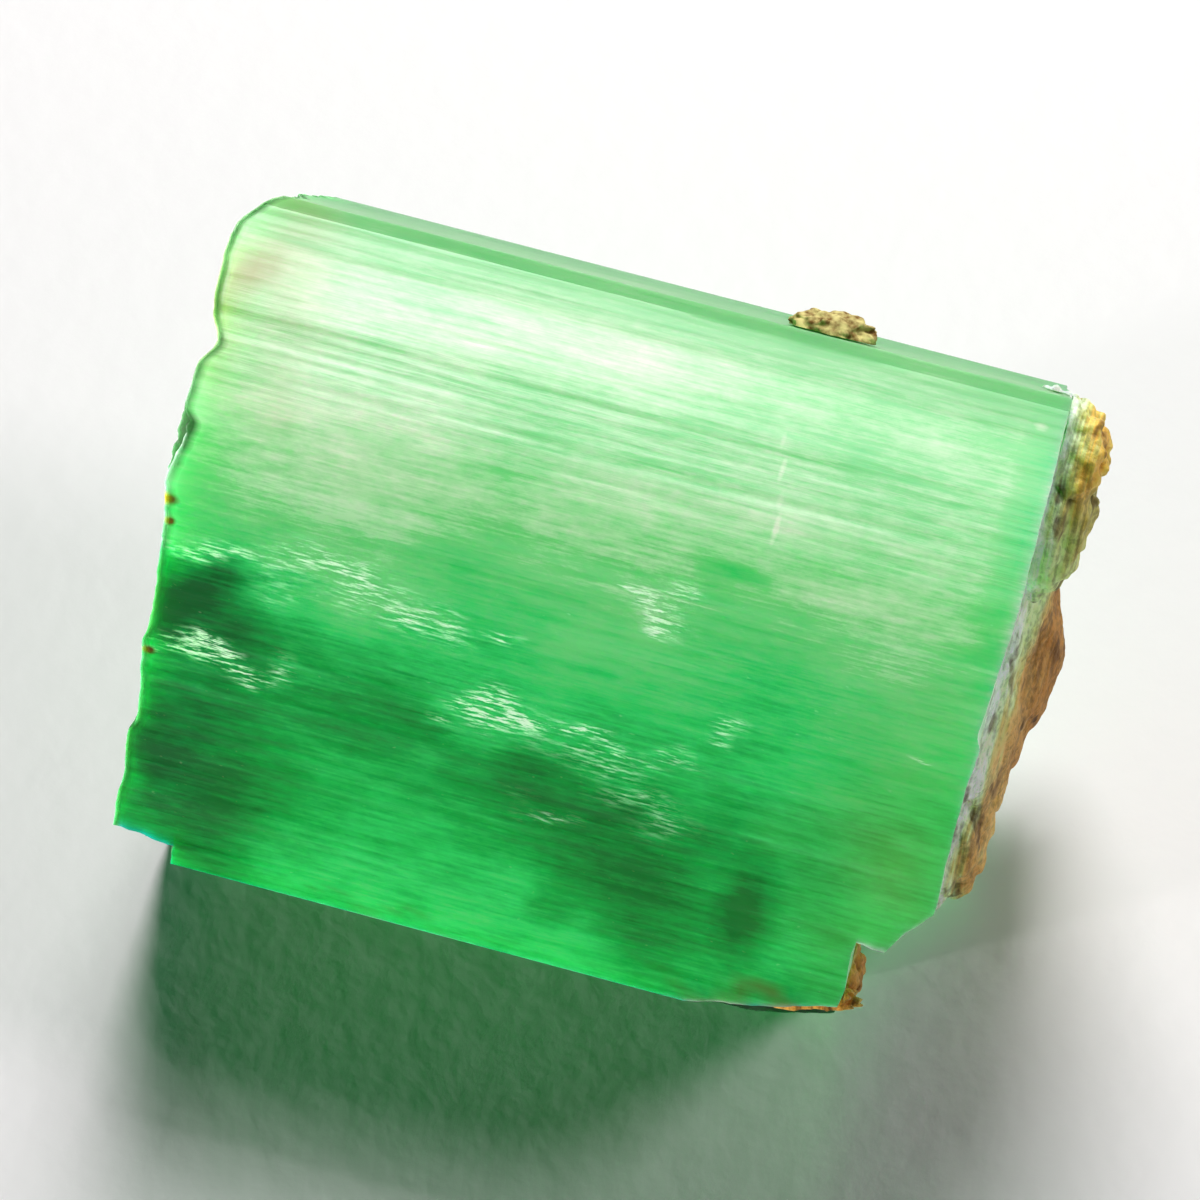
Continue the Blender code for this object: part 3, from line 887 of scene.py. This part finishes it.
# %% [markdown]
# Beryl bends light with an index of 1.577, and takes red and blue out of it on the way through.
# The less milky it is, the more light goes straight through. The rest sinks in and is scattered
# back out, the green part furthest. The growth lines make the faces silky, so the
# reflections are broad.
#
# The light of a lamp that has gone through the whole crystal is a green glow in its shadow. It
# would take far too long to follow it there, so for these rays the surface is a coloured
# filter: nearly pure green through the front face, greyer through the others.

# %% Surface and inside of the emerald
BERYL_IOR = 1.577
clear = add(tree, "MapRange", {
    "Value": milk, "From Min": 0.15, "From Max": 0.7, "To Min": 0.4, "To Max": 0.08})
for part in (veil, rim):
    clear = add(tree, "Math", {0: clear, 1: part}, operation="SUBTRACT", use_clamp=True)
rough = add(tree, "MapRange", {
    "Value": along, "From Min": -3.0, "From Max": 4.0, "To Min": 0.42, "To Max": 0.5})
rough = add(tree, "Math", {0: rough, 1: rim}, operation="MAXIMUM")
bump = add(tree, "Bump", {"Height": striations, "Strength": 0.35, "Distance": 0.01 * MM})
surface = add(tree, "BsdfPrincipled", {
    "Base Color": colour, "Roughness": rough, "IOR": BERYL_IOR, "Transmission Weight": clear,
    "Subsurface Weight": 1.0, "Subsurface Radius": (0.6, 1.3, 0.65), "Subsurface Scale": MM,
    "Normal": bump,
})
filter_colour = add(tree, "MixRGB", {
    "Fac": front, "Color1": (0.14, 0.28, 0.2, 1.0), "Color2": (0.004, 0.4, 0.22, 1.0)})
light_filter = add(tree, "BsdfTransparent", {"Color": filter_colour})
shadow_ray = add(tree, "LightPath").outputs["Is Shadow Ray"]
mixed = add(tree, "MixShader", {0: shadow_ray, 1: surface, 2: light_filter})
inside = add(tree, "VolumeAbsorption", {"Color": (0.1, 0.8975, 0.425, 1.0), "Density": 200.0})
finish(material, tree, mixed, crystal, volume=inside)

# %% [markdown]
# ## The rock on the base
#
# Mica schist is a stack of thin layers. The innermost ones, next to the crystal, are bleached and
# soaked with beryl, pale green and a little translucent. Further out the rock is stained olive,
# then tan and brown. So the colour will follow from how far a point lies out from the broken
# base plane, and noise in cells that are thin across the layers moves the borders and gives
# the lines. The skin on the lower edge is brown right through, so it counts as far out.

# %% Layers of the schist
BASE_PLANE = (1.0, 0.045, -0.1)   # direction out of the broken base
BASE_REACH = 3.894                # how far out in that direction the base lies

material, tree, place = new_material("weathered_mica_schist")
_, backward, height = add(tree, "SeparateXYZ", {"Vector": place}).outputs
out = add(tree, "VectorMath", {0: place, 1: BASE_PLANE}, operation="DOT_PRODUCT")
reach = add(tree, "Math", {0: out.outputs["Value"], 1: BASE_REACH}, operation="SUBTRACT")
on_edge = add(tree, "MapRange", {
    "Value": backward, "From Min": -2.1, "From Max": -2.3, "To Max": 3.0})
reach = add(tree, "Math", {0: reach, 1: on_edge}, operation="ADD")
layer_cells = add(tree, "Mapping", {"Vector": place, "Scale": cells(0.07, 0.9)})
layers = add(tree, "TexNoise", {"Vector": layer_cells, "Scale": 1.0, "Detail": 4.0})
patches = add(tree, "TexNoise", {"Vector": place, "Scale": 1.1, "Detail": 3.0})
for pattern, amount in ((layers, 0.5), (patches, 0.35)):
    swing = add(tree, "Math", {
        0: pattern, 1: amount, 2: -0.5 * amount}, operation="MULTIPLY_ADD")
    reach = add(tree, "Math", {0: reach, 1: swing}, operation="ADD")
print("layers of the schist:", len(tree.nodes), "nodes")

# %% [markdown]
# The zones differ with height too. The lower half of the crust turns brown soon, the upper half
# stays olive further out, and the knob at the top is ochre limonite. So there are three ramps of
# colour over the same reach, and the height goes from one over to the next.

# %% Colour zones of the schist
zones = add(tree, "ValToRGB", {"Fac": reach}, stops=(
    (0.0, "e8f8e6"), (0.6, "b8843e"), (0.1, "eefcea"), (0.2, "d8f0bc"), (0.28, "ccc880"),
    (0.38, "d8b26c")))
upper_zones = add(tree, "ValToRGB", {"Fac": reach}, stops=(
    (0.0, "e8f8e6"), (0.7, "bca85c"), (0.1, "eefcea"), (0.2, "d8f0bc"), (0.38, "cce49c"),
    (0.58, "c8cc80")))
knob_zones = add(tree, "ValToRGB", {"Fac": reach}, stops=(
    (0.0, "e8f8e6"), (0.7, "f0c060"), (0.14, "daf2c6"), (0.28, "c8cc80"), (0.42, "e8bc5c")))
upper = add(tree, "MapRange", {"Value": height, "From Min": 4.5, "From Max": 4.9})
knob = add(tree, "MapRange", {"Value": height, "From Min": 6.8, "From Max": 7.3})
colour = add(tree, "MixRGB", {"Fac": upper, "Color1": zones, "Color2": upper_zones})
colour = add(tree, "MixRGB", {"Fac": knob, "Color1": colour, "Color2": knob_zones})
print("with its colour zones:", len(tree.nodes), "nodes")

# %% [markdown]
# Dark pits lie along the layers where softer mica has weathered out, and fine lines and grains
# make the rock lighter and darker from place to place. The same layers and grains drive two
# bumps, one on the other. Rock like this has no gloss, but lets a little light in at its edges.

# %% Pits, grains and surface of the schist
pit_cells = add(tree, "Mapping", {"Vector": place, "Scale": cells(0.15, 0.5)})
pits = add(tree, "TexNoise", {"Vector": pit_cells, "Scale": 1.0, "Detail": 2.0})
pits = add(tree, "MapRange", {"Value": pits, "From Min": 0.57, "From Max": 0.68, "To Max": 0.7})
colour = add(tree, "MixRGB", {"Fac": pits, "Color1": colour, "Color2": linear("5c3c18")})
line_cells = add(tree, "Mapping", {"Vector": place, "Scale": cells(0.045, 1.2)})
lines = add(tree, "TexNoise", {"Vector": line_cells, "Scale": 1.0, "Detail": 2.0})
grains = add(tree, "TexNoise", {"Vector": place, "Scale": 12.0, "Detail": 3.0})
shade = add(tree, "Math", {0: grains, 1: lines}, operation="ADD")
shade = add(tree, "MapRange", {
    "Value": shade, "From Min": 0.78, "From Max": 1.1, "To Min": 0.75, "To Max": 1.3})
colour = add(tree, "MixRGB", {
    "Fac": 1.0, "Color1": colour, "Color2": shade}, blend_type="MULTIPLY")
bump = add(tree, "Bump", {"Height": layers, "Strength": 0.7, "Distance": 0.04 * MM})
bump = add(tree, "Bump", {
    "Height": grains, "Strength": 0.8, "Distance": 0.05 * MM, "Normal": bump})
surface = add(tree, "BsdfPrincipled", {
    "Base Color": colour, "Roughness": 0.7, "Normal": bump,
    "Subsurface Weight": 0.6, "Subsurface Radius": (0.3, 0.35, 0.2), "Subsurface Scale": MM,
})
finish(material, tree, surface, base_crust, edge_crust)

# %% [markdown]
# The crumb on the back is limonite, an earthy rust: dull, and made of grains that go from brown
# to straw yellow. One grainy noise gives both its colour and its bumps.

# %% Limonite
material, tree, place = new_material("earthy_limonite")
grains = add(tree, "TexNoise", {"Vector": place, "Scale": 9.0, "Detail": 5.0})
colour = add(tree, "ValToRGB", {"Fac": grains}, stops=((0.35, "7a5a2a"), (0.6, "d8cc8a")))
bump = add(tree, "Bump", {"Height": grains, "Strength": 0.6, "Distance": 0.03 * MM})
surface = add(tree, "BsdfPrincipled", {"Base Color": colour, "Roughness": 0.9, "Normal": bump})
finish(material, tree, surface, crumb)

# %% [markdown]
# ## Light
#
# A green stone shows its colour when the light comes through it. So the main light is a round
# soft one behind the crystal, and its shadow falls to the front. A weaker one at the back right
# crosses that shadow with a second one. A low card at the front left lights the front face
# without filling the shadow, as it shines almost along the paper; it is left out of reflections,
# as its mirror image would hide the colour of the front face when seen from the side. The room
# adds very little, and the picture is developed with a little more contrast. Each lamp is placed
# by its azimuth, counted from straight behind to the right, and by its angle from the zenith.

# %% Light
ROOM_LIGHT = 0.011
world = bpy.data.worlds.new("soft_room")
bpy.context.scene.world = world
world.use_nodes = True
background = world.node_tree.nodes["Background"]
background.inputs["Color"].default_value = (1, 1, 1, 1)
background.inputs["Strength"].default_value = ROOM_LIGHT
world.cycles.sampling_method = "NONE"


def lamp(name, azimuth_deg, zenith_deg, distance, size, power):
    """A round soft light, seen from the crystal at this azimuth (0 is behind it) and zenith."""
    azimuth, zenith = math.radians(azimuth_deg), math.radians(zenith_deg)
    level = Vector((math.sin(azimuth), math.cos(azimuth), 0))
    direction = level * math.sin(zenith) + Vector((0, 0, math.cos(zenith)))
    bpy.ops.object.light_add(type="AREA", location=looked_at + direction * distance)
    light = bpy.context.active_object
    light.name = name
    light.rotation_euler = direction.to_track_quat("Z", "Y").to_euler()
    light.data.shape = "DISK"
    light.data.size = size
    light.data.energy = power
    light.data.cycles.use_multiple_importance_sampling = False
    print(name, "at", [round(v / MM) for v in light.location], "mm")
    return light


lamp("window_behind", -12, 37, 0.10, 0.037, 0.089)
lamp("lamp_back_right", 66, 44, 0.20, 0.06, 0.085)
card = lamp("card_in_front", 235, 89.5, 0.25, 0.02, 1.0)
card.visible_glossy = False
view = bpy.context.scene.view_settings
view.view_transform = "Standard"
view.look = "Medium High Contrast"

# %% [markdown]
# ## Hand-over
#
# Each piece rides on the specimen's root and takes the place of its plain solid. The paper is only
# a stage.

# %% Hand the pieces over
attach(crystal, "root")
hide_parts("emerald_crystal")
for piece, node, slot in (
        (base_crust, "base_matrix_crust", "brown_mica_schist"),
        (edge_crust, "lower_edge_crust", "brown_mica_schist"),
        (crumb, "back_matrix_crumb", "ochre_limonite_crust")):
    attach(piece, "root")
    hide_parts(node)
